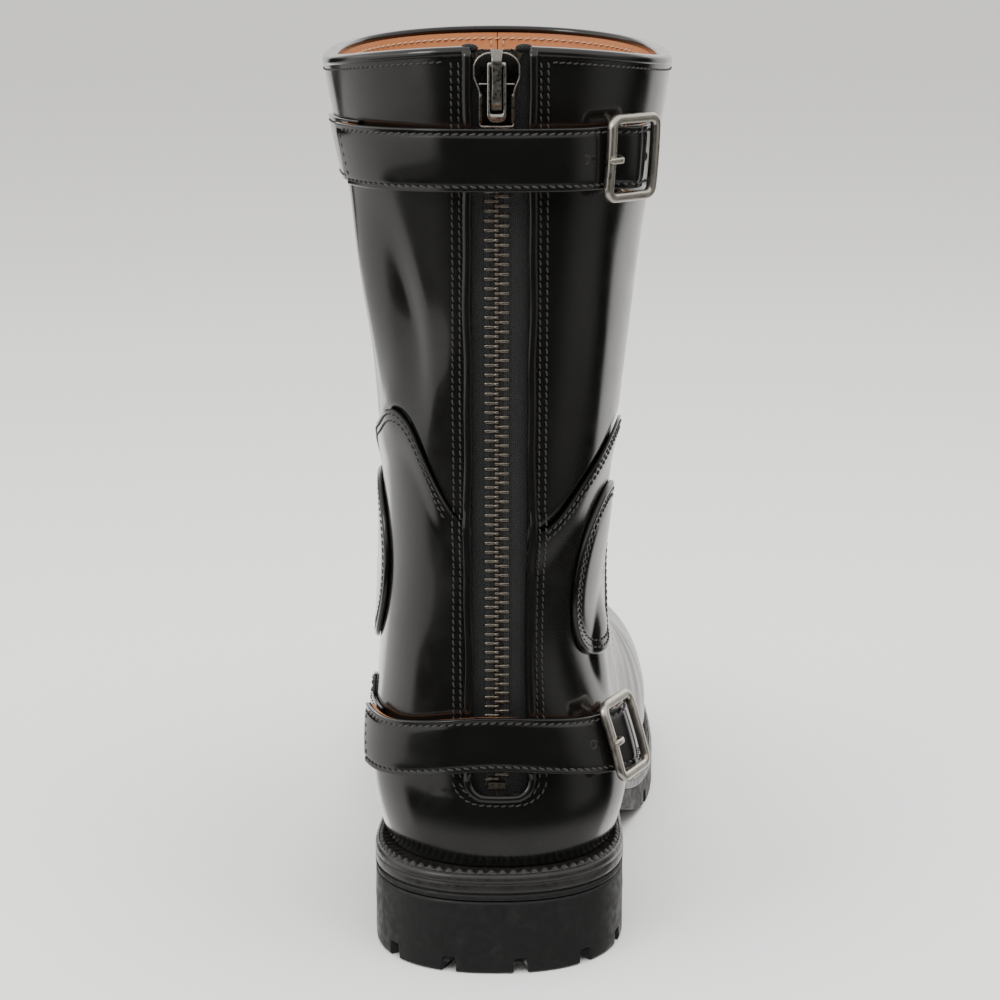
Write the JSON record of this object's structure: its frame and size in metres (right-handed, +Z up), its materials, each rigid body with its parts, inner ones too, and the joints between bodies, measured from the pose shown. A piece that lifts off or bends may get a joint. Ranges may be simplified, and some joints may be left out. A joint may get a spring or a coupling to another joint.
{
  "type": "back zip boot",
  "caption": "Tall polished leather boot with a lugged rubber sole, a zip up the back and buckled straps round the shaft and the heel.",
  "frame": {"origin": "on the floor under the middle of the heel block", "axes": "+Z up, +Y towards the toe, +X towards the lateral side"},
  "size_m": [0.1181, 0.3058, 0.2976],
  "materials": {
    "polished_leather": "black, polished to a high gloss",
    "tan_leather": "vegetable tanned, natural tan",
    "edge_leather": "black, burnished edge",
    "leather_board": "unfinished board",
    "rubber": "matte black",
    "nickel": "satin nickel plate",
    "aged_metal": "antique nickel plate",
    "cotton_tape": "black herringbone tape",
    "steel": "plain steel"
  },
  "bodies": {
    "boot": {"vamp": "polished_leather", "quarter": "polished_leather", "shaft": "polished_leather", "ankle_patch_medial": "polished_leather", "ankle_patch_lateral": "polished_leather", "zip_piping": "polished_leather", "upper_strap": "polished_leather", "lower_strap": "polished_leather", "upper_chape": "polished_leather", "lower_chape": "polished_leather", "leg_lining_medial": "tan_leather", "leg_lining_lateral": "tan_leather", "vamp_lining": "tan_leather", "sock_liner": "tan_leather", "upper_strap_lining": "tan_leather", "lower_strap_lining": "tan_leather", "midsole": "edge_leather", "welt": "edge_leather", "top_binding": "edge_leather", "insole": "leather_board", "heel_counter": "leather_board", "toe_puff": "leather_board", "cork_filler": "leather_board", "heel_block": "rubber", "rubber_sole": "rubber", "upper_buckle": "nickel", "lower_buckle": "nickel", "zip_teeth_left": "aged_metal", "zip_teeth_right": "aged_metal", "top_stop_left": "aged_metal", "top_stop_right": "aged_metal", "bottom_stop": "aged_metal", "zip_tape_left": "cotton_tape", "zip_tape_right": "cotton_tape", "shank": "steel", "heel_nail_1": "steel", "heel_nail_2": "steel", "heel_nail_3": "steel", "heel_nail_4": "steel", "heel_nail_5": "steel"},
    "slider": {"slider_body": "aged_metal", "slider_back_plate": "aged_metal", "slider_crown": "aged_metal"},
    "pull_tab": {"pull_tab": "aged_metal"},
    "upper_prong": {"upper_prong": "nickel"},
    "lower_prong": {"lower_prong": "nickel"}
  },
  "joints": [
    {"name": "zip_slide", "type": "slide", "parent": "boot", "child": "slider", "axis": [0, 0, -1], "range_m": [0, 0.184]},
    {"name": "pull_tab_hinge", "type": "hinge", "parent": "slider", "child": "pull_tab", "pos_m": [-0.001, -0.03275, 0.2911], "axis": [-1, 0, 0], "range_deg": [0, 110]},
    {"name": "upper_prong_hinge", "type": "hinge", "parent": "boot", "child": "upper_prong", "pos_m": [0.03734, -0.02115, 0.26276], "axis": [0.0554, -0.0558, 0.9969], "range_deg": [0, 8]},
    {"name": "lower_prong_hinge", "type": "hinge", "parent": "boot", "child": "lower_prong", "pos_m": [0.03698, -0.0139, 0.07195], "axis": [-0.2721, 0.1398, 0.9521], "range_deg": [0, 8]}
  ]
}
